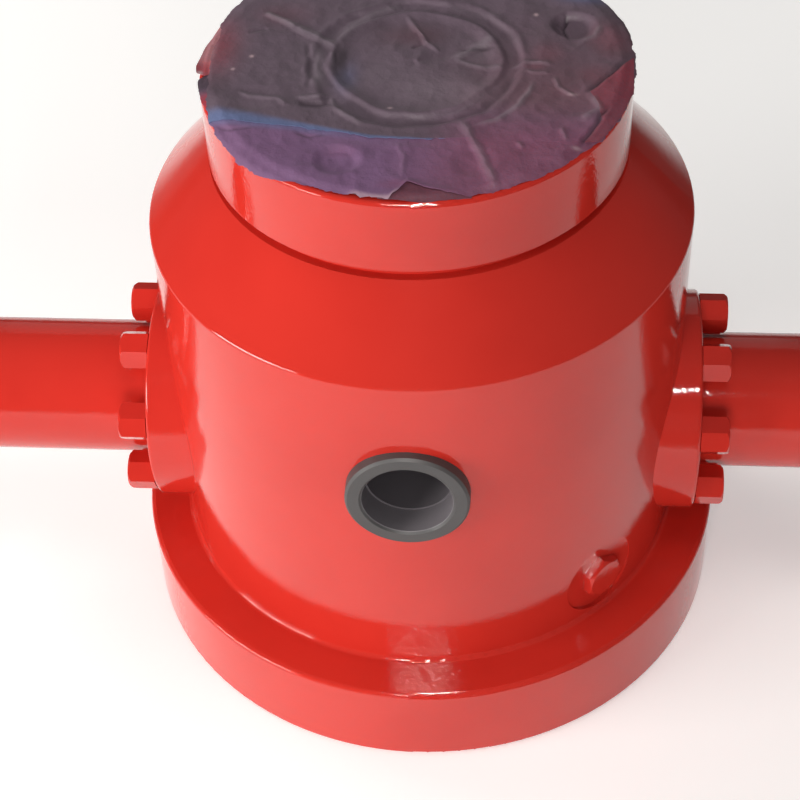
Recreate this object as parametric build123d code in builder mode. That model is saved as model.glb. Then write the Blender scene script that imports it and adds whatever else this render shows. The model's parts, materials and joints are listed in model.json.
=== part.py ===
"""Sucker rod blowout preventer: a round pressure body with a bolted ram housing on each side.

Lengths are in millimetres. The frame stands on the bottom flange: the origin is the centre of its
lower face, Z points up, the rams run along X and the front outlet faces -Y.
"""
import os

from build123d import *

# Body, from the floor up
barrel_radius = 162.0
barrel_height = 238.5
flange_ledge = 28.5
flange_thickness = 61.5
shoulder_height = 44.0
hub_relief_height = 6.0
hub_relief_depth = 5.0
hub_radius = 122.0
hub_height = 46.0
flange_edge_radius = 3.0
barrel_corner_radius = 3.0
hub_corner_radius = 2.5
hub_relief_edge_radius = 0.8

# Well bore, ring grooves and stud holes
bore_radius = 32.5
ring_groove_width = 11.9
ring_groove_depth = 7.9
ring_groove_floor_share = 0.44
top_ring_radius = 53.975
bottom_ring_radius = 105.55
top_stud_count = 8
top_stud_circle_radius = 95.25
top_stud_hole_radius = 12.7
top_stud_hole_depth = 38.0
bottom_stud_count = 12
bottom_stud_edge_distance = 31.75
bottom_stud_hole_radius = 14.3
bottom_stud_hole_depth = 45.0

# Rams on the horizontal bore
ram_axis_height = 136.0
ram_bore_radius = 40.0
ram_clearance = 0.3
ram_tail_room = 1.5
ram_seal_thickness = 15.0
ram_retraction = 1.0
rod_groove_radius = 11.0

# Bonnets and their bolts
bonnet_radius = 71.0
bonnet_seat_depth = 0.6
bonnet_thickness = 28.5
bonnet_seat_clearance = 0.05
bonnet_edge_radius = 2.5
bolt_count = 8
bolt_circle_radius = 59.0
bolt_across_flats = 22.0
bolt_head_height = 17.5
bolt_shank_radius = 7.0
bolt_hole_clearance = 0.5
bolt_thread_clearance = 0.1
bolt_thread_depth = 24.0
bolt_tip_room = 2.0

# Ram housings outside the bonnets
tube_radius = 43.5
tube_wall = 9.5
tube_length = 156.0
end_cap_thickness = 22.0
end_cap_lip = 4.0
end_cap_edge_radius = 3.0
end_cap_spigot_length = 14.0
end_cap_spigot_clearance = 0.2
gland_nut_across_flats = 46.0
gland_nut_height = 18.0
screw_radius = 14.0
screw_clearance = 0.2
screw_grip = 30.0
screw_square = 19.0
screw_square_length = 24.0
screw_collar_length = 8.0

# Side outlets and their bushings
outlet_height = 216.0
outlet_passage_radius = 25.0
bushing_radius = 35.75
bushing_bore_radius = 26.15
bushing_length = 18.0
bushing_proud = 6.0
bushing_clearance = 0.05
bushing_edge_chamfer = 1.5

# Plugged ports low on the barrel
plug_height = 93.0
plug_turn = 45.0
plug_seat_radius = 27.5
plug_seat_depth = 0.5
plug_across_flats = 25.0
plug_head_height = 7.0
plug_shank_radius = 10.0
plug_shank_length = 24.0
plug_thread_clearance = 0.1
plug_tip_room = 3.0

# Protective film over the top face
film_thickness = 0.8
film_overhang = 3.0

# The end of a hex head is turned down to this share of its width across flats
hex_crown_share = 0.98

# Shared by every cut that has to clear its solid
overrun = 10.0

# Places worked out from the sizes above
flange_radius = barrel_radius + flange_ledge
rim_height = flange_thickness + barrel_height
shoulder_top = rim_height + shoulder_height
hub_foot_height = shoulder_top + hub_relief_height
hub_neck_radius = hub_radius - hub_relief_depth
top_height = hub_foot_height + hub_height
bottom_stud_circle_radius = flange_radius - bottom_stud_edge_distance
bonnet_seat = (barrel_radius**2 - bonnet_radius**2) ** 0.5 - bonnet_seat_depth
bonnet_face = bonnet_seat + bonnet_thickness
ram_radius = ram_bore_radius - ram_clearance
seal_front = bore_radius + ram_retraction
ram_front = seal_front + ram_seal_thickness
ram_rear = bonnet_seat - ram_tail_room
tube_bore_radius = tube_radius - tube_wall
tube_end = bonnet_face + tube_length
cap_face = tube_end + end_cap_thickness
nut_face = cap_face + gland_nut_height
screw_shoulder = nut_face + screw_collar_length
bushing_seat = barrel_radius + bushing_proud - bushing_length
plug_seat = (barrel_radius**2 - plug_seat_radius**2) ** 0.5 - plug_seat_depth
top_stud_start = 180 / top_stud_count
bottom_stud_start = 180 / bottom_stud_count
bolt_start = 180 / bolt_count
sides = {"left": -1, "right": 1}
ends = {"front": -1, "rear": 1}


def side_plane(side, distance):
    """A plane square to the ram axis that faces outward, with its own Y upward."""
    return Plane(origin=(side * distance, 0, ram_axis_height), x_dir=(0, side, 0), z_dir=(side, 0, 0))


def end_plane(end, distance):
    """A plane square to the outlet axis that faces outward, with its own Y upward."""
    return Plane(origin=(0, end * distance, outlet_height), x_dir=(-end, 0, 0), z_dir=(0, end, 0))


def plug_plane(end, distance):
    """A plane square to a plug's axis that faces outward, with its own Y upward."""
    outward = Vector(-end, 0, 0).rotate(Axis.Z, -plug_turn)
    along = Vector(0, 0, 1).cross(outward)
    origin = outward * distance + Vector(0, 0, plug_height)
    return Plane(origin=origin, x_dir=along, z_dir=outward)


def bolt_plane(side, number):
    """A bolt's own plane on the bonnet's face, with its X pointing away from the ram axis."""
    turn = bolt_start + number * 360 / bolt_count
    face = side_plane(side, bonnet_face)
    radial = face.x_dir.rotate(Axis(face.origin, face.z_dir), turn)
    return Plane(origin=face.origin + radial * bolt_circle_radius, x_dir=radial, z_dir=face.z_dir)


def hex_block(seat, across_flats, height):
    """A hex head that stands on its seat, with its outer corners turned down at 45 degrees."""
    crown_radius = across_flats / 2 * hex_crown_share
    with BuildPart() as block:
        with BuildSketch(seat):
            RegularPolygon(radius=across_flats / 2, side_count=6, major_radius=False, rotation=30)
        extrude(amount=height)
        with Locations(seat):
            Cone(
                bottom_radius=crown_radius + height,
                top_radius=crown_radius,
                height=height,
                align=(Align.CENTER, Align.CENTER, Align.MIN),
                mode=Mode.INTERSECT,
            )
    return block.part


def outer_face(piece, x, y):
    """The face of a piece that lies furthest out along a level direction."""
    return piece.faces().sort_by(Axis((0, 0, 0), (x, y, 0)))[-1]


def finish(piece, name):
    """Labels a finished piece and writes it under its own name."""
    piece.part.label = name
    export_step(piece.part, f"parts/{name}.step")


os.makedirs("parts", exist_ok=True)

# The body is one turned casting, then bored and drilled
with BuildPart() as body:
    with BuildSketch(Plane.XZ) as profile:
        with BuildLine():
            Polyline(
                (0, 0),
                (flange_radius, 0),
                (flange_radius, flange_thickness),
                (barrel_radius, flange_thickness),
                (barrel_radius, rim_height),
                (hub_radius, shoulder_top),
                (hub_neck_radius, shoulder_top),
                (hub_neck_radius, hub_foot_height),
                (hub_radius, hub_foot_height),
                (hub_radius, top_height),
                (0, top_height),
                close=True,
            )
        make_face()
        fillet(profile.vertices().group_by(Axis.X)[-1], radius=flange_edge_radius)
        barrel_corners = profile.vertices().filter_by_position(Axis.X, barrel_radius, barrel_radius)
        fillet(barrel_corners, radius=barrel_corner_radius)
        hub_corners = profile.vertices().filter_by_position(Axis.X, hub_radius, hub_radius).sort_by(Axis.Y)
        fillet(hub_corners[-1], radius=hub_corner_radius)
        fillet(hub_corners[:-1], radius=hub_relief_edge_radius)
    revolve(axis=Axis.Z)

    # Well bore with a ring groove and tapped stud holes at each end
    with Locations((0, 0, top_height)):
        Hole(radius=bore_radius)
        with PolarLocations(top_stud_circle_radius, top_stud_count, start_angle=top_stud_start):
            Hole(radius=top_stud_hole_radius, depth=top_stud_hole_depth)
    with Locations(Plane.XY.rotated((180, 0, 0))):
        with PolarLocations(bottom_stud_circle_radius, bottom_stud_count, start_angle=bottom_stud_start):
            Hole(radius=bottom_stud_hole_radius, depth=bottom_stud_hole_depth)
    groove_floor_width = ring_groove_width * ring_groove_floor_share
    grooves = (
        (top_ring_radius, top_height, top_height - ring_groove_depth),
        (bottom_ring_radius, 0, ring_groove_depth),
    )
    with BuildSketch(Plane.XZ):
        for ring_radius, face_height, floor_height in grooves:
            with BuildLine():
                Polyline(
                    (ring_radius - ring_groove_width / 2, face_height),
                    (ring_radius - groove_floor_width / 2, floor_height),
                    (ring_radius + groove_floor_width / 2, floor_height),
                    (ring_radius + ring_groove_width / 2, face_height),
                    close=True,
                )
            make_face()
    revolve(axis=Axis.Z, mode=Mode.SUBTRACT)

    # Ram bore with a flat round seat and tapped holes for each bonnet
    with BuildSketch(side_plane(1, -bonnet_seat)):
        Circle(ram_bore_radius)
    extrude(amount=2 * bonnet_seat, mode=Mode.SUBTRACT)
    for side in sides.values():
        with BuildSketch(side_plane(side, bonnet_seat)):
            Circle(bonnet_radius + bonnet_seat_clearance)
        extrude(amount=barrel_radius - bonnet_seat + overrun, mode=Mode.SUBTRACT)
        with Locations(side_plane(side, bonnet_seat)):
            with PolarLocations(bolt_circle_radius, bolt_count, start_angle=bolt_start):
                Hole(
                    radius=bolt_shank_radius + bolt_thread_clearance,
                    depth=bolt_thread_depth + bolt_tip_room,
                )

    # Outlets open into the well bore, and plugged ports stay blind
    for end in ends.values():
        with BuildSketch(end_plane(end, 0)):
            Circle(outlet_passage_radius)
        extrude(amount=bushing_seat, mode=Mode.SUBTRACT)
        with BuildSketch(end_plane(end, bushing_seat)):
            Circle(bushing_radius + bushing_clearance)
        extrude(amount=bushing_length + overrun, mode=Mode.SUBTRACT)
        with BuildSketch(plug_plane(end, plug_seat)):
            Circle(plug_seat_radius)
        extrude(amount=barrel_radius - plug_seat + overrun, mode=Mode.SUBTRACT)
        with Locations(plug_plane(end, plug_seat)):
            Hole(radius=plug_shank_radius + plug_thread_clearance, depth=plug_shank_length + plug_tip_room)
finish(body, "body")

for end_name, end in ends.items():
    with BuildPart() as bushing:
        with BuildSketch(end_plane(end, bushing_seat)):
            Circle(bushing_radius)
            Circle(bushing_bore_radius, mode=Mode.SUBTRACT)
        extrude(amount=bushing_length)
        chamfer(outer_face(bushing, 0, end).edges(), length=bushing_edge_chamfer)
    finish(bushing, f"{end_name}_outlet_bushing")

    plug_head = hex_block(plug_plane(end, plug_seat), plug_across_flats, plug_head_height)
    with BuildPart() as plug:
        add(plug_head)
        with BuildSketch(plug_plane(end, plug_seat)):
            Circle(plug_shank_radius)
        extrude(amount=-plug_shank_length)
    finish(plug, f"{end_name}_port_plug")

for side_name, side in sides.items():
    with BuildPart() as bonnet:
        with BuildSketch(side_plane(side, bonnet_seat)):
            Circle(bonnet_radius)
        extrude(amount=bonnet_thickness)
        fillet(outer_face(bonnet, side, 0).edges(), radius=bonnet_edge_radius)
        with Locations(side_plane(side, bonnet_face)):
            Hole(radius=screw_radius + screw_clearance)
            with PolarLocations(bolt_circle_radius, bolt_count, start_angle=bolt_start):
                Hole(radius=bolt_shank_radius + bolt_hole_clearance)
    finish(bonnet, f"{side_name}_bonnet")

    for number in range(bolt_count):
        seat = bolt_plane(side, number)
        bolt_head = hex_block(seat, bolt_across_flats, bolt_head_height)
        with BuildPart() as bolt:
            add(bolt_head)
            with BuildSketch(seat):
                Circle(bolt_shank_radius)
            extrude(amount=-(bonnet_thickness + bolt_thread_depth))
        finish(bolt, f"{side_name}_bonnet_bolt_{number + 1}")

    with BuildPart() as tube:
        with BuildSketch(side_plane(side, bonnet_face)):
            Circle(tube_radius)
            Circle(tube_bore_radius, mode=Mode.SUBTRACT)
        extrude(amount=tube_length)
    finish(tube, f"{side_name}_ram_tube")

    with BuildPart() as end_cap:
        with BuildSketch(side_plane(side, tube_end)):
            Circle(tube_radius + end_cap_lip)
        extrude(amount=end_cap_thickness)
        fillet(end_cap.edges().filter_by(GeomType.CIRCLE), radius=end_cap_edge_radius)
        with BuildSketch(side_plane(side, tube_end)):
            Circle(tube_bore_radius - end_cap_spigot_clearance)
        extrude(amount=-end_cap_spigot_length)
        with Locations(side_plane(side, cap_face)):
            Hole(radius=screw_radius + screw_clearance)
    finish(end_cap, f"{side_name}_end_cap")

    nut_blank = hex_block(side_plane(side, cap_face), gland_nut_across_flats, gland_nut_height)
    with BuildPart() as gland_nut:
        add(nut_blank)
        with Locations(side_plane(side, nut_face)):
            Hole(radius=screw_radius + screw_clearance)
    finish(gland_nut, f"{side_name}_gland_nut")

    with BuildPart() as ram:
        with BuildSketch(side_plane(side, ram_front)):
            Circle(ram_radius)
        extrude(amount=ram_rear - ram_front)
        with Locations(side_plane(side, ram_rear)):
            Hole(radius=screw_radius + screw_clearance, depth=screw_grip)
    finish(ram, f"{side_name}_ram")

    with BuildPart() as ram_seal:
        with BuildSketch(side_plane(side, seal_front)):
            Circle(ram_radius)
        extrude(amount=ram_seal_thickness)
        with BuildSketch(Plane.XY.offset(ram_axis_height - ram_bore_radius)):
            with Locations((side * seal_front, 0)):
                Circle(rod_groove_radius)
        extrude(amount=2 * ram_bore_radius, mode=Mode.SUBTRACT)
    finish(ram_seal, f"{side_name}_ram_seal")

    with BuildPart() as screw:
        with BuildSketch(side_plane(side, ram_rear - screw_grip)):
            Circle(screw_radius)
        extrude(amount=screw_shoulder - ram_rear + screw_grip)
        with BuildSketch(side_plane(side, screw_shoulder)):
            Rectangle(screw_square, screw_square)
        extrude(amount=screw_square_length)
    finish(screw, f"{side_name}_ram_screw")

with BuildPart() as film:
    with BuildSketch(Plane.XY.offset(top_height)):
        Circle(hub_radius + film_overhang)
    extrude(amount=film_thickness)
finish(film, "masking_film")
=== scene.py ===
"""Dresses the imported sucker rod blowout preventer: red enamel, dark bushings, bare steel and torn film."""
import json
import math

import bpy
import numpy as np
from bpy.props import FloatProperty, FloatVectorProperty, IntProperty, PointerProperty
from mathutils import Matrix, Vector, geometry, noise


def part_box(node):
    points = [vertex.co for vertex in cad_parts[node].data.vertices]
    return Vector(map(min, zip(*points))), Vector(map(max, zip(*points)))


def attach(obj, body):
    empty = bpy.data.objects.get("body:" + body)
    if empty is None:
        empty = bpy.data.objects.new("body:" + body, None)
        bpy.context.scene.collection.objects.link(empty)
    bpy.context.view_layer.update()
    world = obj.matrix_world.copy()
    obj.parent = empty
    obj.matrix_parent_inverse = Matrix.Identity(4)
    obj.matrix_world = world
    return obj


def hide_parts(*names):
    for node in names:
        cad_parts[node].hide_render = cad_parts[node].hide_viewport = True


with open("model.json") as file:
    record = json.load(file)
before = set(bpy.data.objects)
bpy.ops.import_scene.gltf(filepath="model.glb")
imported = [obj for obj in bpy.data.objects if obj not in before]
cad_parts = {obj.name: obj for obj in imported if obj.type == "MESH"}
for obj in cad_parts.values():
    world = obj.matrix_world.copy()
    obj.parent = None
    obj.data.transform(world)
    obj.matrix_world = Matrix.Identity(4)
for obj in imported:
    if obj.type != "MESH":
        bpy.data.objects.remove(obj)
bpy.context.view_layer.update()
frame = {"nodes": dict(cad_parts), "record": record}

bl_info = {
    "name": "Sucker rod blowout preventer",
    "version": (1, 0, 0),
    "blender": (4, 5, 0),
    "location": "View3D > Sidebar > Preventer",
    "description": "Paints the packed preventer, lays its torn film and sets a pale studio round it",
    "category": "Object",
}

MOUNTS = {mount["name"]: mount for mount in frame["record"]["mounts"]}
FILM_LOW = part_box("masking_film")[0]
BODY_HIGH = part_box("body")[1]
MM = 0.001

# Where the top face ends and its ring groove runs, in millimetres
FLAT_TOP_RADIUS = 119.5
GROOVE_RADIUS = 53.975

# Inside these radii and below these heights the body is machined bare, in metres
BARE_FLANGE_RADIUS = 0.1865
BARE_FLANGE_HEIGHT = 0.0575
BARE_BARREL_RADIUS = 0.1562
BARE_BARREL_HEIGHT = 0.299
BARE_HUB_RADIUS = 0.1165
# How far past an outlet's wall its oiled passage reaches, in millimetres
PASSAGE_MARGIN = 0.3

# Roughness of each finish, from its smoothest to its dullest places
ENAMEL_ROUGHNESS = (0.16, 0.24)
BARE_ROUGHNESS = 0.34
PHOSPHATE_ROUGHNESS = (0.42, 0.58)
TURNED_ROUGHNESS = (0.24, 0.42)
RUBBER_ROUGHNESS = (0.55, 0.75)
FILM_ROUGHNESS = (0.42, 0.56)
FLOOR_ROUGHNESS = 0.9
COAT_ROUGHNESS = 0.06
COAT_IOR = 1.5

# Height of the fine grain in each finish, in metres
PHOSPHATE_GRAIN = 0.00004
LATHE_MARK = 0.00003
RUBBER_GRAIN = 0.0001
FILM_CRINKLE = 0.0006

# Colours of the hidden pieces, clean and stained
TURNED_STEEL = ((0.46, 0.46, 0.47), (0.30, 0.29, 0.28))
SEAL_RUBBER = ((0.012, 0.012, 0.012), (0.030, 0.029, 0.028))

# How dark grain makes bare steel, how much shine oil takes away, and how much of the peel the paint has
STEEL_GRAIN_SHARE = 0.6
OILED_SHARE = 0.75
PAINT_PEEL_SHARE = 0.2
# How far clouds darken and lighten each finish
PHOSPHATE_SHARES = (0.8, 1.2)
GREY_FILM_SHARES = (0.72, 1.3)
PURPLE_FILM_SHARES = (0.8, 1.2)
# How dark the painted shade makes the grey film
PAINTED_SHADE_SHARE = 0.4
# The even part of the paint mist and the part that comes in droplets
MIST_SHARES = (0.75, 0.5)
# How much of the film's crinkle is flat facets, and how strongly all of it shows
FACET_SHARE = 0.9
CRINKLE_SHARE = 0.7

PAINTED_NODES = ["body"] + [
    name for name in frame["nodes"]
    if name.endswith(("_plug", "_bonnet", "_tube", "_cap", "_nut")) or "_bonnet_bolt_" in name
]


class EnamelSettings(bpy.types.PropertyGroup):
    """The red enamel and the bare metal that it stops at."""

    colour: FloatVectorProperty(
        name="Enamel", description="Colour of the fresh enamel", subtype="COLOR", size=3,
        min=0, max=1, default=(0.63, 0.033, 0.022))
    deep_colour: FloatVectorProperty(
        name="Thick enamel", description="Colour where the coat pooled", subtype="COLOR", size=3,
        min=0, max=1, default=(0.57, 0.027, 0.018))
    steel: FloatVectorProperty(
        name="Machined steel", description="Colour of the unpainted machined faces", subtype="COLOR", size=3,
        min=0, max=1, default=(0.42, 0.42, 0.43))
    oiled: FloatVectorProperty(
        name="Oiled passage", description="Colour of the dark walls of the outlet passages",
        subtype="COLOR", size=3, min=0, max=1, default=(0.17, 0.155, 0.172))
    phosphate: FloatVectorProperty(
        name="Phosphate", description="Colour of the bushings' outer faces", subtype="COLOR", size=3,
        min=0, max=1, default=(0.068, 0.066, 0.068))
    peel_size: FloatProperty(
        name="Orange peel", description="Width of one dimple in the coat", unit="LENGTH", default=0.0020)
    peel_depth: FloatProperty(
        name="Peel depth", description="Height of the dimples in the coat", unit="LENGTH", default=0.00009)


class FilmSettings(bpy.types.PropertyGroup):
    """The masking film over the studded top."""

    thickness: FloatProperty(
        name="Thickness", description="Thickness of one layer of film", unit="LENGTH", default=0.00025)
    layer_gap: FloatProperty(
        name="Layer gap", description="Height from one layer to the next", unit="LENGTH", default=0.0004)
    rise: FloatProperty(
        name="Rise", description="How far the loose film stands off the steel", unit="LENGTH", default=0.0019)
    groove_dip: FloatProperty(
        name="Dip over the groove", description="How far the film sags into the ring groove",
        unit="LENGTH", default=0.0018)
    bore_dip: FloatProperty(
        name="Dip over the bore", description="How far the film sinks round the well bore", unit="LENGTH",
        default=0.0018)
    wrinkle: FloatProperty(
        name="Wrinkle", description="Height of the loose wrinkles", unit="LENGTH", default=0.0007)
    grey: FloatVectorProperty(
        name="Grey film", description="Colour of the upper layer", subtype="COLOR", size=3,
        min=0, max=1, default=(0.136, 0.096, 0.130))
    purple: FloatVectorProperty(
        name="Purple film", description="Colour of the lower layer", subtype="COLOR", size=3,
        min=0, max=1, default=(0.195, 0.112, 0.232))
    blue: FloatVectorProperty(
        name="Blue edge", description="Colour of the upper layer's front margin", subtype="COLOR", size=3,
        min=0, max=1, default=(0.135, 0.185, 0.370))
    mist: FloatVectorProperty(
        name="Paint mist", description="Colour of the red mist on the film", subtype="COLOR", size=3,
        min=0, max=1, default=(0.40, 0.022, 0.035))
    # Also the colour of the painted highlight on the left flap
    pale: FloatVectorProperty(
        name="Pale lip", description="Colour of torn lips and specks", subtype="COLOR", size=3,
        min=0, max=1, default=(0.62, 0.44, 0.48))
    # Painted highlight: a paler colour laid on fold crests and lit patches of the film, where light catches
    # it
    painted_highlight: FloatVectorProperty(
        name="Stretch marks", description="Colour of the film where a fold has stretched it",
        subtype="COLOR", size=3, min=0, max=1, default=(0.275, 0.232, 0.270))
    face_size: FloatProperty(
        name="Face size", description="Side of one face of the film's mesh", unit="LENGTH", default=0.0011)
    seed: IntProperty(name="Seed", description="Picks how the folds sway", default=3, min=1)


class StageSettings(bpy.types.PropertyGroup):
    """Floor, lamps and camera."""

    floor_size: FloatProperty(name="Floor", description="Side of the floor", unit="LENGTH", default=14.0)
    floor_colour: FloatVectorProperty(
        name="Floor colour", description="Colour of the pale floor", subtype="COLOR", size=3,
        min=0, max=1, default=(0.90, 0.90, 0.90))
    floor_glow: FloatProperty(
        name="Floor white", description="White that the eye and mirrors see in the floor",
        default=0.33, min=0, max=1)
    far_colour: FloatVectorProperty(
        name="Far floor colour", description="Colour of the floor far from the object",
        subtype="COLOR", size=3, min=0, max=1, default=(0.22, 0.22, 0.22))
    pale_reach: FloatProperty(
        name="Pale reach", description="How far the pale floor runs", unit="LENGTH", default=0.95)
    sky_strength: FloatProperty(name="Sky", description="Strength of the even light", default=0.085, min=0)
    key_level: FloatProperty(
        name="Key", description="Light that the lamp at the rear left brings to a face turned to it",
        default=0.34, min=0)
    left_level: FloatProperty(
        name="Left fill", description="Light that the low lamp at the left brings", default=0.74, min=0)
    front_level: FloatProperty(
        name="Front fill", description="Light that the low lamp in front brings", default=0.44, min=0)
    top_level: FloatProperty(
        name="Top lamp", description="Light that the lamp overhead brings", default=0.20, min=0)
    rear_level: FloatProperty(
        name="Rear panel", description="Light that the panel behind brings", default=0.04, min=0)
    strip_level: FloatProperty(
        name="Edge strip", description="Gloss that the strip in front brings to edges and corners",
        default=0.90, min=0)
    lamp_colour: FloatVectorProperty(
        name="Lamp colour", description="Colour of the lamps", subtype="COLOR", size=3, min=0, max=1,
        default=(1.0, 0.965, 0.92))
    camera_distance: FloatProperty(
        name="Distance", description="Level distance of the camera from the well axis",
        unit="LENGTH", default=0.8956)
    camera_height: FloatProperty(
        name="Height", description="Height of the camera over the floor", unit="LENGTH", default=1.0391)
    camera_azimuth: FloatProperty(
        name="Azimuth", description="Direction of the camera from the well axis", subtype="ANGLE",
        default=math.radians(-85.3))
    camera_yaw: FloatProperty(
        name="Yaw", description="Turn of the view", subtype="ANGLE", default=math.radians(5.8675))
    camera_pitch: FloatProperty(
        name="Pitch", description="Tilt of the view from straight down", subtype="ANGLE",
        default=math.radians(44.5512))
    camera_roll: FloatProperty(
        name="Roll", description="Roll of the view", subtype="ANGLE", default=math.radians(-2.8222))
    lens: FloatProperty(name="Lens", description="Focal length", subtype="DISTANCE_CAMERA", default=87.226)


def new_material(name):
    """A node material with nothing but its output, its surface shader and its coordinates."""
    material = bpy.data.materials.new(name)
    material.use_nodes = True
    nodes = material.node_tree.nodes
    nodes.clear()
    output = nodes.new("ShaderNodeOutputMaterial")
    surface = nodes.new("ShaderNodeBsdfPrincipled")
    place = nodes.new("ShaderNodeTexCoord")
    material.node_tree.links.new(surface.outputs["BSDF"], output.inputs["Surface"])
    return material, surface, place


def feed(tree, value, socket):
    """Links an output to an input, or sets a plain number or colour on it."""
    if isinstance(value, bpy.types.NodeSocket):
        tree.links.new(value, socket)
    elif socket.type == "RGBA":
        socket.default_value = (*value, 1)
    else:
        socket.default_value = value


def math_node(tree, operation, first, second=None, clamp=False):
    """A Math node whose inputs are outputs of other nodes or numbers."""
    node = tree.nodes.new("ShaderNodeMath")
    node.operation = operation
    node.use_clamp = clamp
    for slot, value in enumerate((first, second)):
        if value is not None:
            feed(tree, value, node.inputs[slot])
    return node.outputs["Value"]


def distance_node(tree, first, second):
    """The distance that two lengths at a right angle make."""
    squares = [math_node(tree, "MULTIPLY", length, length) for length in (first, second)]
    return math_node(tree, "SQRT", math_node(tree, "ADD", *squares))


def ramp_between(tree, value, low, high):
    """A smooth step of a value from 0 at low to 1 at high."""
    node = tree.nodes.new("ShaderNodeMapRange")
    node.interpolation_type = "SMOOTHSTEP"
    node.inputs["From Min"].default_value = low
    node.inputs["From Max"].default_value = high
    tree.links.new(value, node.inputs["Value"])
    return node.outputs["Result"]


def mix_node(tree, kind, factor, first, second):
    """A mix of two values by a factor, each of them an output of another node or plain."""
    first_slot, second_slot, result = {"FLOAT": (2, 3, 0), "RGBA": (6, 7, 2)}[kind]
    node = tree.nodes.new("ShaderNodeMix")
    node.data_type = kind
    feed(tree, factor, node.inputs["Factor"])
    feed(tree, first, node.inputs[first_slot])
    feed(tree, second, node.inputs[second_slot])
    return node.outputs[result]


def mix_colour(tree, factor, first, second):
    """A mix of two colours."""
    return mix_node(tree, "RGBA", factor, first, second)


def mix_value(tree, factor, first, second):
    """A mix of two numbers."""
    return mix_node(tree, "FLOAT", factor, first, second)


def noise_node(tree, place, scale, detail=2.0, roughness=0.5):
    """A noise texture on the given coordinates."""
    node = tree.nodes.new("ShaderNodeTexNoise")
    node.inputs["Scale"].default_value = scale
    node.inputs["Detail"].default_value = detail
    node.inputs["Roughness"].default_value = roughness
    tree.links.new(place, node.inputs["Vector"])
    return node.outputs["Fac"]


def bump_node(tree, height, distance, strength=1.0):
    """A Bump node on a height that other nodes give."""
    node = tree.nodes.new("ShaderNodeBump")
    node.inputs["Strength"].default_value = strength
    node.inputs["Distance"].default_value = distance
    tree.links.new(height, node.inputs["Height"])
    return node.outputs["Normal"]


def new_mask_group(name):
    """A shader node group from a position to a mask, with the position split into its three axes."""
    group = bpy.data.node_groups.new(name, "ShaderNodeTree")
    group.interface.new_socket("Position", in_out="INPUT", socket_type="NodeSocketVector")
    group.interface.new_socket("Mask", in_out="OUTPUT", socket_type="NodeSocketFloat")
    start = group.nodes.new("NodeGroupInput")
    end = group.nodes.new("NodeGroupOutput")
    split = group.nodes.new("ShaderNodeSeparateXYZ")
    group.links.new(start.outputs["Position"], split.inputs["Vector"])
    return group, split.outputs, end.inputs["Mask"]


def bare_mask_group():
    """A mask that is 1 on the machined faces inside the body and under its flange, where no enamel is."""
    group, axes, mask = new_mask_group("bare_machined_mask")
    reach = distance_node(group, axes["X"], axes["Y"])
    bare = math_node(group, "LESS_THAN", reach, BARE_HUB_RADIUS)
    for radius, height in (
            (BARE_BARREL_RADIUS, BARE_BARREL_HEIGHT), (BARE_FLANGE_RADIUS, BARE_FLANGE_HEIGHT)):
        inside = math_node(group, "LESS_THAN", reach, radius)
        low = math_node(group, "LESS_THAN", axes["Z"], height)
        bare = math_node(group, "MAXIMUM", bare, math_node(group, "MULTIPLY", inside, low))
    group.links.new(bare, mask)
    return group


def outlet_mask_group():
    """A mask that is 1 on the walls of the side outlets' passages."""
    group, axes, mask = new_mask_group("outlet_passage_mask")
    outlet = MOUNTS["front_outlet"]
    up = math_node(group, "SUBTRACT", axes["Z"], outlet["pos_m"][2])
    reach = distance_node(group, axes["X"], up)
    wall = (outlet["dims"]["r_mm"] + PASSAGE_MARGIN) * MM
    group.links.new(math_node(group, "LESS_THAN", reach, wall), mask)
    return group


def placed_mask(tree, group, where):
    """A mask group's output at the given coordinates."""
    node = tree.nodes.new("ShaderNodeGroup")
    node.node_tree = group
    tree.links.new(where, node.inputs["Position"])
    return node.outputs["Mask"]


def toned(colour, share):
    """A colour made darker or lighter by a share."""
    return [share * part for part in colour]


def give_finish(name, material):
    """Puts one material in a CAD node's only slot."""
    slots = frame["nodes"][name].data.materials
    slots.clear()
    slots.append(material)


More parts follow.
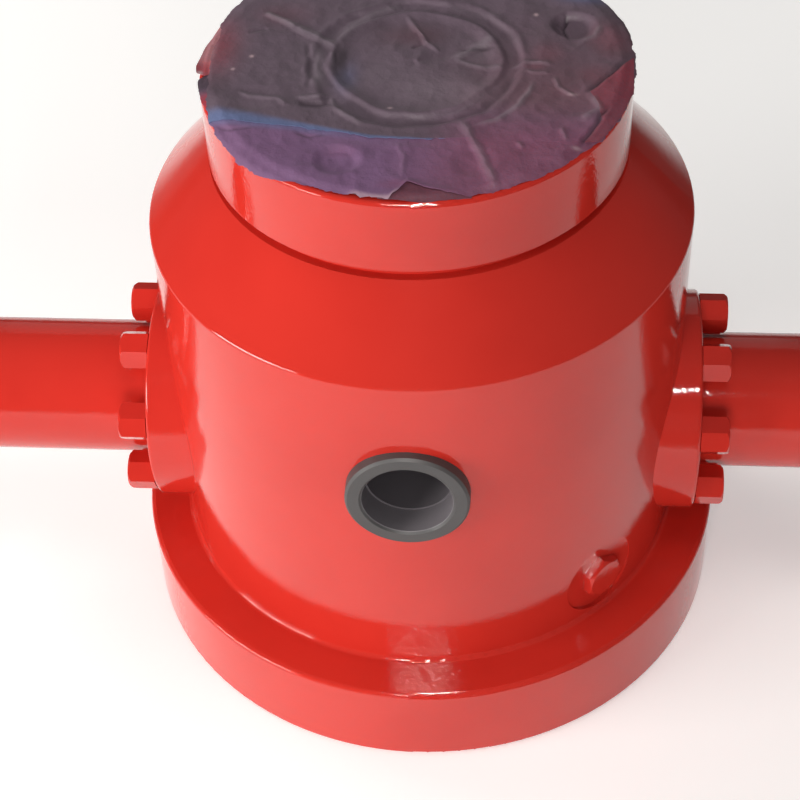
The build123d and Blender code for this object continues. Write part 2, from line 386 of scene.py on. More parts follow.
def enamel_material(settings, name, outlet_group=None):
    """Red gloss enamel with a faint orange peel; on the body it stops at the machined faces."""
    material, surface, place = new_material(name)
    tree = material.node_tree
    where = place.outputs["Object"]
    cloud = ramp_between(tree, noise_node(tree, where, scale=9.0, detail=3.0), low=0.35, high=0.75)
    paint = mix_colour(tree, cloud, settings.colour, settings.deep_colour)
    gloss = mix_value(tree, noise_node(tree, where, scale=60.0), *ENAMEL_ROUGHNESS)
    if outlet_group is not None:
        bare = placed_mask(tree, bare_mask_group(), where)
        passage = placed_mask(tree, outlet_group, where)
        grain = noise_node(tree, where, scale=240.0, detail=4.0, roughness=0.7)
        steel = mix_colour(tree, grain, settings.steel, toned(settings.steel, STEEL_GRAIN_SHARE))
        steel = mix_colour(tree, passage, steel, settings.oiled)
        paint = mix_colour(tree, bare, paint, steel)
        gloss = mix_value(tree, bare, gloss, BARE_ROUGHNESS)
        oil = math_node(tree, "MULTIPLY", passage, OILED_SHARE)
        dry = math_node(tree, "SUBTRACT", bare, oil, clamp=True)
        tree.links.new(dry, surface.inputs["Metallic"])
        coat = math_node(tree, "SUBTRACT", 1.0, bare)
        tree.links.new(coat, surface.inputs["Coat Weight"])
    else:
        surface.inputs["Coat Weight"].default_value = 1.0
    surface.inputs["Specular IOR Level"].default_value = 0.0
    surface.inputs["Coat Roughness"].default_value = COAT_ROUGHNESS
    surface.inputs["Coat IOR"].default_value = COAT_IOR
    tree.links.new(paint, surface.inputs["Base Color"])
    tree.links.new(gloss, surface.inputs["Roughness"])
    peel = noise_node(tree, where, scale=1.0 / settings.peel_size, detail=1.0)
    under_peel = bump_node(tree, peel, PAINT_PEEL_SHARE * settings.peel_depth)
    tree.links.new(under_peel, surface.inputs["Normal"])
    tree.links.new(bump_node(tree, peel, settings.peel_depth), surface.inputs["Coat Normal"])
    return material


def phosphate_material(settings):
    """Dark phosphate with a fine grain, oiled inside the outlet's bore."""
    material, surface, place = new_material("dark_phosphate")
    tree = material.node_tree
    where = place.outputs["Object"]
    cloud = noise_node(tree, where, scale=70.0, detail=3.0)
    colour = mix_colour(tree, cloud, *(toned(settings.phosphate, share) for share in PHOSPHATE_SHARES))
    bore = placed_mask(tree, bpy.data.node_groups["outlet_passage_mask"], where)
    colour = mix_colour(tree, bore, colour, settings.oiled)
    tree.links.new(colour, surface.inputs["Base Color"])
    tree.links.new(mix_value(tree, cloud, *PHOSPHATE_ROUGHNESS), surface.inputs["Roughness"])
    grain = noise_node(tree, where, scale=1600.0)
    tree.links.new(bump_node(tree, grain, PHOSPHATE_GRAIN), surface.inputs["Normal"])
    return material


def turned_steel_material():
    """Bare steel with lathe marks round the ram axis and a few stains."""
    material, surface, place = new_material("turned_steel")
    tree = material.node_tree
    where = place.outputs["Object"]
    squeeze = tree.nodes.new("ShaderNodeMapping")
    squeeze.inputs["Scale"].default_value = (1.0, 0.04, 0.04)
    tree.links.new(where, squeeze.inputs["Vector"])
    lathe = noise_node(tree, squeeze.outputs["Vector"], scale=2400.0, detail=1.0)
    stain = noise_node(tree, where, scale=45.0, detail=4.0, roughness=0.6)
    tree.links.new(mix_colour(tree, stain, *TURNED_STEEL), surface.inputs["Base Color"])
    tree.links.new(mix_value(tree, stain, *TURNED_ROUGHNESS), surface.inputs["Roughness"])
    surface.inputs["Metallic"].default_value = 1.0
    tree.links.new(bump_node(tree, lathe, LATHE_MARK), surface.inputs["Normal"])
    return material


def seal_rubber_material():
    """Black rubber with a grey bloom."""
    material, surface, place = new_material("seal_rubber")
    tree = material.node_tree
    bloom = noise_node(tree, place.outputs["Object"], scale=120.0, detail=3.0)
    tree.links.new(mix_colour(tree, bloom, *SEAL_RUBBER), surface.inputs["Base Color"])
    tree.links.new(mix_value(tree, bloom, *RUBBER_ROUGHNESS), surface.inputs["Roughness"])
    tree.links.new(bump_node(tree, bloom, RUBBER_GRAIN), surface.inputs["Normal"])
    return material


class PREVENTER_OT_paint_castings(bpy.types.Operator):
    """Puts red enamel on the body, the bonnets, their bolts and the ram housings"""

    bl_idname = "preventer.paint_castings"
    bl_label = "Paint the castings"

    def execute(self, context):
        settings = context.scene.preventer_enamel
        body_paint = enamel_material(settings, "red_enamel_body", outlet_mask_group())
        plain_paint = enamel_material(settings, "red_enamel")
        for name in PAINTED_NODES:
            give_finish(name, body_paint if name == "body" else plain_paint)
            even = frame["nodes"][name].modifiers.new("even_shading", "WEIGHTED_NORMAL")
            even.keep_sharp = True
        return {"FINISHED"}


class PREVENTER_OT_finish_bushings(bpy.types.Operator):
    """Gives the outlet bushings their dark phosphate finish"""

    bl_idname = "preventer.finish_bushings"
    bl_label = "Finish the bushings"

    def execute(self, context):
        phosphate = phosphate_material(context.scene.preventer_enamel)
        for end in ("front", "rear"):
            give_finish(f"{end}_outlet_bushing", phosphate)
        return {"FINISHED"}


class PREVENTER_OT_finish_rams(bpy.types.Operator):
    """Gives the rams and ram screws bare steel and the ram seals black rubber"""

    bl_idname = "preventer.finish_rams"
    bl_label = "Finish the rams"

    def execute(self, context):
        steel = turned_steel_material()
        rubber = seal_rubber_material()
        for side in ("left", "right"):
            give_finish(f"{side}_ram", steel)
            give_finish(f"{side}_ram_screw", steel)
            give_finish(f"{side}_ram_seal", rubber)
        return {"FINISHED"}


# Shapes of the film, in millimetres from the well axis, with azimuths in degrees
FILM_EDGE = {
    -180: 115.8, -173: 116.0, -166: 118.0, -157: 121.4, -143: 123.9, -136: 125.2, -127: 124.6,
    -122: 122.0, -117: 119.2, -110: 118.8, -104: 119.0, -103: 118.0, -98: 118.6, -93.5: 118.7,
    -91.3: 113.2, -88.8: 106.4, -86: 108.2, -83.2: 111.2, -78: 116.3, -73.5: 119.9, -49: 121.1,
    -40: 120.6, -30: 122.4, -11: 122.6, 4: 122.4, 22: 124.8, 32: 122.9, 60: 121.5,
    95: 123.0, 130: 122.4, 153.6: 121.8, 163: 120.6, 168: 116.6, 180: 115.8,
}
LOWER_AZIMUTHS = (-164.0, -14.0)
UPPER_AZIMUTHS = (206.7, -36.0)
UPPER_FRONT = [
    (95, -69), (60, -72), (36, -68), (9, -69.9), (-20.5, -69.5), (-42.5, -64.2), (-59, -61), (-76, -58.6),
    (-92.4, -56.3), (-107, -53.9),
]
BLUE_WIDTHS = {-110: 13, -92: 12, -76: 9, -59: 5.6, -42: 4.2, -20: 2.8, 5: 1.6, 15: 0.4}
TONGUE = [(-16, -98), (-13, -117.8), (10, -119.8), (36, -115.6), (31, -98)]
RIGHT_FOLD = [
    (121.6, 8.7), (97, -26.1), (101.5, -38), (103.5, -50), (94, -69.4), (102, -67.4), (113.6, -46.2),
    (121, -22.4),
]
LEFT_FLAP = [
    (-115, 32), (-120.5, 15), (-122.6, 2.7), (-123.8, -5), (-122.8, -11.5), (-117.5, -13.4), (-109, -8),
    (-107, 18),
]
# The left rag's back part is darkened by its tints as painted shade for the gap under the flap
LEFT_RAG = [(-117, -12), (-121.4, -16), (-119.8, -26), (-116.4, -37), (-111, -45), (-106, -36), (-108, -14)]

# How far the film sags into each stud hole, by the hole's azimuth
HOLE_DIPS = {22.5: 3.4, 67.5: 1.2, 112.5: 1.0, 157.5: 0.2, -157.5: 0.3, -112.5: 2.0, -67.5: 0.6, -22.5: 0.5}

# Folds run through points and have a height, below zero for a furrow that gets painted shade, a half width
# and the strength of the painted highlight on their crest
FOLDS = [
    ([(-90, 45), (-80, 38), (-70, 31.5)], 1.6, 2.8, 1.0),
    ([(-72, 32.5), (-58, 22), (-45, 13.3)], 1.3, 4.4, 0.7),
    ([(-46.5, 16.2), (-40, 32), (-27, 46), (-11.7, 56.5)], 0.9, 4.6, 0.6),
    ([(-56, 12), (-54, -9), (-52.6, -27)], 1.1, 4.8, 0.7),
    ([(-62.5, 16), (-59, -7), (-58, -27)], -0.8, 2.6, 0.0),
    ([(-47.5, 8.5), (-45.8, -6.7)], 0.6, 1.8, 0.6),
    ([(-96.8, -30), (-89.7, -33.5), (-72.8, -36), (-67.7, -42)], 0.9, 2.0, 0.4),
    ([(-63, -35.5), (-47, -31)], 1.0, 2.0, 0.4),
    ([(-62.5, -39.5), (-45, -39.5)], -1.3, 3.6, 0.0),
    ([(-45.4, -32.6), (-41, -45), (-32.7, -52), (-24.5, -59)], 1.0, 2.4, 0.5),
    ([(-5.2, -72.4), (-1.1, -86), (-1, -102)], 0.5, 2.2, 0.2),
    ([(-7.4, 44.5), (4.5, 19), (13, 9.6)], 1.3, 2.2, 0.3),
    ([(4.5, 19), (-3, 13)], -0.8, 2.0, 0.0),
    ([(53.8, -4.8), (60.4, 0.1), (76, -0.6)], 1.2, 2.0, 0.4),
    ([(61.7, -8.3), (74, -10)], 0.8, 1.8, 0.3),
    ([(26, -51), (33, -66), (38, -78), (48, -108)], 1.1, 3.8, 0.7),
    ([(58.8, -71), (61, -76)], 0.8, 1.8, 0.4),
    ([(82, -58), (85, -70)], 0.8, 2.0, 0.5),
    ([(94.8, -27.9), (118, 4)], -1.3, 2.0, 0.0),
    ([(91.7, -71.9), (107.8, -38.4)], -1.5, 1.8, 0.0),
    ([(98, -29.6), (102.4, -42), (91.6, -51)], 1.0, 2.8, 0.7),
    ([(84.5, 48), (82.3, 38), (85.8, 22.5)], -2.0, 1.5, 0.0),
    ([(-5, -55), (24, -52.6), (40, -43), (52, -23), (58, -8)], -0.9, 4.2, 0.0),
    ([(-42, 18), (-43, 3), (-40.6, -12), (-35, -25)], -1.1, 5.5, 0.0),
    ([(-44, 18), (-45.5, 3), (-43.4, -10)], -1.2, 2.4, 0.0),
    ([(-104, -61), (-96, -63), (-84, -61)], -0.7, 1.8, 0.0),
    ([(-60, -66), (-52, -69), (-44, -66)], -0.6, 1.8, 0.0),
    ([(14, 60), (34, 47), (46, 34)], -0.3, 3.6, 0.0),
    ([(92, 21), (100, 26), (103, 36)], 0.7, 3.0, 0.8),
    ([(78.3, -13.6), (79.5, -22.7), (89.4, -29.8)], 0.9, 1.8, 0.5),
    ([(67, -17.5), (59, -38), (46.5, -52), (36, -57.6)], 0.9, 2.2, 1.0),
    ([(-5.5, -51.5), (24.6, -46), (45.5, -23)], 0.4, 2.4, 0.45),
    ([(21, 2), (35, 17.7), (44, 25)], 1.5, 4.5, 1.0),
    ([(24, 12), (44, 16)], -1.0, 3.2, 0.0),
    ([(20, 3), (36, -4), (50, -3)], 0.8, 3.0, 0.7),
    ([(-86, 30), (-98, 26)], -0.6, 2.2, 0.0),
    ([(10, 58), (40, 44), (52, 30), (60, 12)], 0.35, 3.6, 0.3),
]
# Each stain or painted patch has a middle, a half width across and along, and a strength
MIST_STAINS = [
    (-113, 12, 11, 24, 0.36), (74, 8, 12, 13, 0.18), (109, 22, 14, 18, 0.22), (-36, -80, 15, 9, 0.10),
    (32, -86, 20, 13, 0.17), (80, -40, 50, 60, 0.15), (2, -108, 18, 6, 0.2), (67, -4, 9, 4, 0.2),
    (-80, 44, 16, 10, 0.08), (-2, 26, 18, 10, 0.1), (100, -12, 16, 14, 0.2),
]
# Pale specks and torn lips, and a wide patch on the left flap that is a painted highlight where the flap
# faces the light
PALE_SPECKS_AND_HIGHLIGHT = [
    (-93, 2.8, 1.1, 1.1, 1.0), (-102.3, -8.8, 1.0, 1.0, 0.9), (-11.6, -42.7, 1.1, 1.1, 1.0),
    (66.2, 46.1, 1.2, 1.2, 1.0), (87.8, -28.9, 2.4, 1.0, 0.5), (89.6, -74.5, 2.4, 1.2, 0.55),
    (-121, -11.2, 1.8, 1.8, 1.0), (-119, 8, 4, 10, 0.35),
]
# Painted highlight: lighter patches where the sunken film faces the light
PAINTED_HIGHLIGHT_PATCHES = [
    (14, -26, 30, 16, 0.5), (34, 10, 12, 12, 0.35), (-14, -14, 20, 14, 0.3), (-60, -6, 12, 22, 0.12),
    (0, -74, 40, 3, 0.15),
]
# Painted shade: darker patches where the film lies in shade, in hollows, by folds, under the left flap and
# towards the right
PAINTED_SHADE_PATCHES = [
    (-42, 5, 5, 15, 0.85), (76, 37, 5, 8, 0.45), (-4, 26, 22, 9, 0.3), (-54, -39.5, 9, 3.5, 0.4),
    (48, -32, 7, 10, 0.2), (82, 8, 26, 30, 0.14), (106, -11, 6, 12, 0.25), (-112, -25, 6, 9, 0.25),
]
BLUE_STAINS = [(94, 63, 13, 5, 0.5), (-38, -14, 6, 13, 0.30)]

# Kinds of unevenness, each with its noise's scale per millimetre and its own layer of that noise
RIPPLES = {"scale": 0.05, "layer": 9.0}
WRINKLES = {"scale": 0.026, "layer": 4.0, "octaves": 3}
CRUMPLES = {"scale": 0.085, "layer": 7.0, "octaves": 2}
ROUND_THE_AXIS = {"scale": 1.0, "layer": 2.0}
SWAY = {"scale": 0.11, "layer": 5.0}
# What three of them add to the wrinkle height, and how sharp the crests are
RIPPLE_SHARE, WRINKLE_SHARE, CRUMPLE_SHARE = 0.8, 0.5, 0.35
CREST_DIMENSION, CREST_GAP, CREST_OFFSET, CREST_GAIN = 0.9, 2.1, 1.0, 2.0
# The mean sag over groove and bore, and how much it changes round the axis, as shares of the dip
MEAN_SAG_SHARE, SAG_CHANGE_SHARE = 0.75, 0.6
# How far the folds, the sags and the dips sway off their lines, in millimetres
FOLD_SWAY, SAG_SWAY, HOLE_SWAY = 1.1, 2.4, 0.8

# Spans run from where the film starts to change height to where the change is whole, in millimetres
RISE_SPAN = (FLAT_TOP_RADIUS + 1.5, FLAT_TOP_RADIUS - 6)
GROOVE_SAG_SPAN = (6.8, 2.6)
BORE_SAG_SPAN = (47.5, 39.0)
BORE_SWELL_SPAN = (36, 8)
BORE_SWELL = 1.0
# The span over a stud hole, as shares of its radius
HOLE_SAG_SHARES = (1.1, 0.6)
# Low ridges on both sides of the groove, by their radius, and their width
RIDGE_HEIGHTS = {47.8: 0.3, 61.5: 0.35}
RIDGE_WIDTH = 2.0
# Over a hollow the film may lie below the steel's face, this far inside the hollow's wall
GROOVE_HOLLOW = 5
HOLLOW_MARGIN = 1
# Droop past the edge of the top face, by the square of the distance
EDGE_DROOP = 0.08

# A fold's height at its two ends, as a share, and how fast it grows from there along the fold
FOLD_END_SHARE = 0.15
FOLD_GROWTH = 6
# Depth of a furrow whose painted shade is whole, and how much of a furrow's painted shade and of all painted
# highlight shows
DARK_FURROW = 2
FURROW_SHARE = 0.8
PAINTED_HIGHLIGHT_SHARE = 0.5

# A torn edge wanders by noise of this scale per millimetre and, with a share of that, by one so much finer
FRAY_SCALE = 0.16
FINE_FRAY_SCALE = 3.1
FINE_FRAY_SHARE = 0.6
# The fewest points on an edge, and the inner grid's clearance from it as a share of a face
FEWEST_EDGE_POINTS = 24
EDGE_CLEAR_SHARE = 0.6
# How the outline is filled with faces, which points are one, and where shading breaks
FILL_INSIDE = 1
SAME_POINT = 1e-5
CREASE_ANGLE = 50

# The lip of the tear at the front: its azimuth, and where it starts and is whole in depth and azimuth
TEAR_AZIMUTH = -89
LIP_DEPTH_SPAN = (4.5, 0.5)
LIP_AZIMUTH_SPAN = (17, 13)
LIP_CURL = 0.7
# The upper sheet sinks onto the lower one at the front right
SINK_SHARE = 0.9
SINK_X_SPAN = (0, 40)
SINK_Y_SPAN = (-40, -60)
# The left flap stands up at the edge of the top face
FLAP_LIFT = 0.9
FLAP_LIFT_SPAN = (116.5, 118.5)
FLAP_SPRING = 0.10
# Where tints, painted shade and painted highlight change across the sheets, from none to whole, in
# millimetres along X or Y
LOWER_RED_X = (-20, 50)
LOWER_BLUE_X = (-10, -60)
LOWER_BLUE_DEPTH = (6, 0)
LIP_PALE_X = (0, -6)
UPPER_RED_X = (0, 50)
UPPER_RED_Y = (-30, -70)
BLUE_BAND_END_X = 20
BLUE_BAND_SHARE = 0.25
RAG_RED_Y = (-24, -38)
RAG_SHADE_Y = (-34, -22)
FLAP_HIGHLIGHT_Y = (-8, 6)
FOLD_RED_Y = (-50, 0)


def smooth_step(value, start, end):
    """A smooth step of an array from 0 at start to 1 at end."""
    share = np.clip((value - start) / (end - start), 0, 1)
    return share * share * (3 - 2 * share)


def film_edge_radius(azimuth):
    """The film's torn edge, in millimetres from the well axis."""
    return np.interp((azimuth + 180) % 360 - 180, list(FILM_EDGE), list(FILM_EDGE.values()))


def rim_run(first, last, step=3.0):
    """Points along the film's edge from one azimuth to another, in millimetres."""
    corners = [azimuth for azimuth in FILM_EDGE if min(first, last) < azimuth < max(first, last)]
    even = np.arange(first, last, math.copysign(step, last - first))
    azimuths = np.array(sorted({*even, *corners}, reverse=last < first))
    radii = film_edge_radius(azimuths)
    return list(zip(radii * np.cos(np.radians(azimuths)), radii * np.sin(np.radians(azimuths))))


def frayed_edge(corners, face_size, fray, seed):
    """Evenly spaced points round a closed outline, pushed in and out a little as torn film is."""
    ring = np.array(list(corners) + [corners[0]], float)
    runs = np.hypot(*np.diff(ring, axis=0).T)
    travel = np.concatenate([[0], np.cumsum(runs)])
    count = max(FEWEST_EDGE_POINTS, int(travel[-1] / face_size))
    steps = np.arange(count) * travel[-1] / count
    points = np.stack([np.interp(steps, travel, ring[:, axis]) for axis in (0, 1)], -1)
    middle = points.mean(0)
    for point in points:
        away = (point - middle) / np.hypot(*(point - middle))
        spot = Vector((point[0] * FRAY_SCALE, point[1] * FRAY_SCALE, seed))
        fine = FINE_FRAY_SHARE * noise.noise(spot * FINE_FRAY_SCALE)
        point += away * fray * (noise.noise(spot) + fine)
    return points


def grid_inside(edge, size):
    """The points of a triangular grid that lie well inside an outline."""
    low, high = edge.min(0), edge.max(0)
    rows = np.arange(low[1], high[1], size * math.sqrt(3) / 2)
    lines = [np.arange(low[0] + number % 2 * size / 2, high[0], size) for number in range(len(rows))]
    grid = np.concatenate([np.stack([line, np.full_like(line, row)], -1) for line, row in zip(lines, rows)])
    after = np.roll(edge, -1, axis=0)
    inside = np.zeros(len(grid), bool)
    clear = np.full(len(grid), True)
    for (x, y), (next_x, next_y) in zip(edge, after):
        clear &= np.hypot(grid[:, 0] - x, grid[:, 1] - y) > EDGE_CLEAR_SHARE * size
        if y != next_y:
            between = (y > grid[:, 1]) != (next_y > grid[:, 1])
            inside ^= between & (grid[:, 0] < x + (grid[:, 1] - y) * (next_x - x) / (next_y - y))
    return grid[inside & clear]


def patch_at(x, y, stains):
    """The strongest of the patches at each point, from 0 to 1: stains, and patches of painted shade and
    painted highlight.
    """
    total = np.zeros_like(x)
    for middle_x, middle_y, across, along, strength in stains:
        distance = ((x - middle_x) / across) ** 2 + ((y - middle_y) / along) ** 2
        total = np.maximum(total, strength * np.exp(-distance))
    return total


def noise_at(x, y, scale, layer):
    """Smooth noise at each point, about -1 to 1."""
    return np.array([noise.noise(Vector((a * scale, b * scale, layer))) for a, b in zip(x, y)])


def crests_at(x, y, scale, layer, octaves):
    """Noise with sharp crests at each point, about 0 to 2."""
    sharpness = (CREST_DIMENSION, CREST_GAP, octaves, CREST_OFFSET, CREST_GAIN)
    return np.array([
        noise.ridged_multi_fractal(Vector((a * scale, b * scale, layer)), *sharpness) for a, b in zip(x, y)])


def sway_at(x, y, scale, layer):
    """Smooth noise at each point in each of the three directions."""
    return np.array([noise.noise_vector(Vector((a * scale, b * scale, layer))) for a, b in zip(x, y)])


def fold_at(x, y):
    """What the folds bring to each point: height in millimetres, and painted highlight on crests and painted
    shade in furrows from 0 to 1.
    """
    total, painted_highlight, shade = np.zeros_like(x), np.zeros_like(x), np.zeros_like(x)
    sway = FOLD_SWAY * sway_at(x, y, **SWAY)
    x, y = x + sway[:, 0], y + sway[:, 1]
    for route, height, width, mark in FOLDS:
        places = np.array(route, float)
        runs = np.diff(places, axis=0)
        lengths = np.hypot(*runs.T)
        starts = np.concatenate([[0], np.cumsum(lengths)])
        nearest = np.full_like(x, np.inf)
        fade = np.zeros_like(x)
        for (start_x, start_y), (run_x, run_y), length, before in zip(places, runs, lengths, starts):
            share = np.clip(((x - start_x) * run_x + (y - start_y) * run_y) / length ** 2, 0, 1)
            aside = np.hypot(x - start_x - share * run_x, y - start_y - share * run_y)
            closer = aside < nearest
            travel = (before + share * length) / starts[-1]
            grown = np.clip(FOLD_GROWTH * np.minimum(travel, 1 - travel) + FOLD_END_SHARE, 0, 1)
            fade = np.where(closer, grown, fade)
            nearest = np.where(closer, aside, nearest)
        crest = fade * np.clip(1 - nearest / width, 0, 1)
        total += height * crest
        painted_highlight = np.maximum(painted_highlight, mark * crest)
        shade = np.maximum(shade, np.clip(-height / DARK_FURROW, 0, 1) * crest)
    return total, painted_highlight, shade


def film_height(x, y, settings):
    """The height of the film over the steel at each point, in millimetres."""
    reach = np.hypot(x, y)
    ripples = noise_at(x, y, **RIPPLES)
    wrinkles = crests_at(x, y, **WRINKLES) - 1
    crumples = crests_at(x, y, **CRUMPLES) - 1
    loose = reach + SAG_SWAY * ripples
    turning = noise_at(x / (reach + 1), y / (reach + 1), **ROUND_THE_AXIS)
    uneven = MEAN_SAG_SHARE + SAG_CHANGE_SHARE * turning
    height = settings.rise / MM * smooth_step(reach, *RISE_SPAN)
    hollow = np.abs(reach - GROOVE_RADIUS) < GROOVE_HOLLOW
    hollow |= reach < MOUNTS["well_bore"]["dims"]["r_mm"] - HOLLOW_MARGIN
    studs = MOUNTS["top_studs"]["dims"]
    circle, hole = studs["pcd_mm"] / 2, studs["hole_r_mm"]
    for azimuth, depth in HOLE_DIPS.items():
        turn = math.radians(azimuth)
        aside = np.hypot(x - circle * math.cos(turn), y - circle * math.sin(turn))
        sag = smooth_step(aside + HOLE_SWAY * ripples, *(hole * share for share in HOLE_SAG_SHARES))
        height -= depth * sag
        hollow |= aside < hole - HOLLOW_MARGIN
    groove_sag = smooth_step(np.abs(loose - GROOVE_RADIUS), *GROOVE_SAG_SPAN)
    height -= settings.groove_dip / MM * uneven * groove_sag
    height -= settings.bore_dip / MM * uneven * smooth_step(loose, *BORE_SAG_SPAN)
    height += BORE_SWELL * smooth_step(loose, *BORE_SWELL_SPAN)
    for ridge_radius, ridge_height in RIDGE_HEIGHTS.items():
        height += ridge_height * np.exp(-(((loose - ridge_radius) / RIDGE_WIDTH) ** 2))
    unrest = WRINKLE_SHARE * wrinkles + RIPPLE_SHARE * ripples + CRUMPLE_SHARE * crumples
    height += settings.wrinkle / MM * unrest
    height += fold_at(x, y)[0]
    height = np.where(hollow, height, np.maximum(height, 0.0))
    return height - EDGE_DROOP * np.clip(reach - FLAT_TOP_RADIUS, 0, None) ** 2


def film_sheet(name, corners, tints, settings, layer, fray, curl=None):
    """A frayed sheet of film over the studded top, made from its outline and a grid inside it."""
    size = settings.face_size / MM
    edge = frayed_edge(corners, size, fray, float(len(name)))
    flat = np.concatenate([edge, grid_inside(edge, size)])
    rim = [(number, (number + 1) % len(edge)) for number in range(len(edge))]
    points, _, faces, *_ = geometry.delaunay_2d_cdt(
        [Vector(point) for point in flat], rim, [], FILL_INSIDE, SAME_POINT)
    x, y = np.array(points).T
    height = film_height(x, y, settings) + settings.layer_gap / MM * layer
    if curl is not None:
        height += curl(x, y, settings)
    places = np.stack([x * MM, y * MM, FILM_LOW.z + height * MM], -1)
    mesh = bpy.data.meshes.new(name)
    mesh.from_pydata(places.tolist(), [], faces)
    mesh.update()
    for attribute, values in tints(x, y).items():
        layer_values = mesh.attributes.new(attribute, "FLOAT", "POINT")
        layer_values.data.foreach_set("value", np.clip(values, 0, 1).astype(np.float32))
    sheet = bpy.data.objects.new(name, mesh)
    bpy.context.scene.collection.objects.link(sheet)
    bpy.ops.object.select_all(action="DESELECT")
    sheet.select_set(True)
    bpy.context.view_layer.objects.active = sheet
    bpy.ops.object.mode_set(mode="EDIT")
    bpy.ops.mesh.select_all(action="SELECT")
    bpy.ops.mesh.normals_make_consistent(inside=False)
    bpy.ops.object.mode_set(mode="OBJECT")
    skin = sheet.modifiers.new("thickness", "SOLIDIFY")
    skin.thickness = settings.thickness
    skin.offset = 0.0
    bpy.ops.object.modifier_apply(modifier=skin.name)
    bpy.ops.object.shade_smooth_by_angle(angle=math.radians(CREASE_ANGLE))
    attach(sheet, "root")
    return sheet


def film_material(settings):
    """Crinkled film whose tints, paint mist, pale lips, painted highlight and painted shade come from the
    sheets' own attributes.
    """
    material, surface, place = new_material("crinkled_film")
    tree = material.node_tree
    where = place.outputs["Object"]
    tint = {}
    for name in ("purple", "blue", "mist", "pale", "painted_highlight", "shade"):
        node = tree.nodes.new("ShaderNodeAttribute")
        node.attribute_name = name
        tint[name] = node.outputs["Fac"]
    cloud = noise_node(tree, where, scale=55.0, detail=4.0, roughness=0.6)
    grey = mix_colour(tree, cloud, *(toned(settings.grey, share) for share in GREY_FILM_SHARES))
    purple = mix_colour(tree, cloud, *(toned(settings.purple, share) for share in PURPLE_FILM_SHARES))
    colour = mix_colour(tree, tint["purple"], grey, purple)
    colour = mix_colour(tree, tint["blue"], colour, settings.blue)
    even_share, droplet_share = MIST_SHARES
    spray = ramp_between(tree, noise_node(tree, where, scale=900.0), low=0.25, high=0.75)
    spray = math_node(tree, "ADD", math_node(tree, "MULTIPLY", spray, droplet_share), even_share)
    misted = math_node(tree, "MULTIPLY", tint["mist"], spray, clamp=True)
    colour = mix_colour(tree, misted, colour, settings.mist)
    # Painted highlight on crests and lit patches, then painted shade where the film lies in shade
    colour = mix_colour(tree, tint["painted_highlight"], colour, settings.painted_highlight)
    colour = mix_colour(tree, tint["shade"], colour, toned(settings.grey, PAINTED_SHADE_SHARE))
    colour = mix_colour(tree, tint["pale"], colour, settings.pale)
    tree.links.new(colour, surface.inputs["Base Color"])
    tree.links.new(mix_value(tree, cloud, *FILM_ROUGHNESS), surface.inputs["Roughness"])
    crinkle = noise_node(tree, where, scale=260.0, detail=4.0, roughness=0.62)
    facets = tree.nodes.new("ShaderNodeTexVoronoi")
    facets.inputs["Scale"].default_value = 130.0
    tree.links.new(where, facets.inputs["Vector"])
    faceted = math_node(tree, "MULTIPLY", facets.outputs["Distance"], FACET_SHARE)
    crinkle = math_node(tree, "ADD", crinkle, faceted)
    tree.links.new(bump_node(tree, crinkle, FILM_CRINKLE, CRINKLE_SHARE), surface.inputs["Normal"])
    return material


def upper_front_at(x):
    """How far along Y the upper sheet's front edge lies at each X, in millimetres."""
    front_x, front_y = np.array(UPPER_FRONT[::-1]).T
    return np.interp(x, front_x, front_y)


def tear_lip(x, y):
    """1 on the lip of the tear at the front, 0 away from it."""
    azimuth = np.degrees(np.arctan2(y, x))
    near = smooth_step(film_edge_radius(azimuth) - np.hypot(x, y), *LIP_DEPTH_SPAN)
    return near * smooth_step(np.abs(azimuth - TEAR_AZIMUTH), *LIP_AZIMUTH_SPAN)


def lip_curl(x, y, settings):
    """The lower sheet's lip curls up at the tear."""
    return LIP_CURL * tear_lip(x, y)


def front_sink(x, y, settings):
    """The upper sheet sinks onto the lower one at the front right."""
    depth = -SINK_SHARE * settings.layer_gap / MM
    return depth * smooth_step(x, *SINK_X_SPAN) * smooth_step(y, *SINK_Y_SPAN)


def flap_curl(x, y, settings):
    """The left flap stands up where the other film droops over the edge of the top face."""
    reach = np.hypot(x, y)
    spring = FLAP_SPRING * np.clip(reach - FLAT_TOP_RADIUS, 0, None) ** 2
    return FLAP_LIFT * smooth_step(reach, *FLAP_LIFT_SPAN) + spring


def stained(x, y, purple, blue=0.0, mist=0.0, pale=0.0, shade=0.0):
    """A sheet's tints, painted shade and painted highlight: its own, or those of the stains, painted patches
    and folds where they are stronger.
    """
    _, painted_highlight, furrow = fold_at(x, y)
    return {
        "purple": np.zeros_like(x) + purple,
        "blue": np.maximum(blue, patch_at(x, y, BLUE_STAINS)),
        "mist": np.maximum(mist, patch_at(x, y, MIST_STAINS)),
        "painted_highlight": PAINTED_HIGHLIGHT_SHARE * np.maximum(painted_highlight, patch_at(x, y, PAINTED_HIGHLIGHT_PATCHES)),
        "pale": np.maximum(pale, patch_at(x, y, PALE_SPECKS_AND_HIGHLIGHT)),
        "shade": np.maximum(np.maximum(shade, FURROW_SHARE * furrow), patch_at(x, y, PAINTED_SHADE_PATCHES)),
    }


def lower_tints(x, y):
    """Purple, redder to the right, blue under the upper sheet's edge and pale at the tear's left lip."""
    right = smooth_step(x, *LOWER_RED_X)
    under = smooth_step(upper_front_at(x) - y, *LOWER_BLUE_DEPTH) * smooth_step(x, *LOWER_BLUE_X)
    lip = tear_lip(x, y) ** 2 * smooth_step(x, *LIP_PALE_X)
    return stained(x, y, 1 - 0.4 * right, mist=0.06 + 0.22 * right, blue=0.6 * under, pale=0.45 * lip)


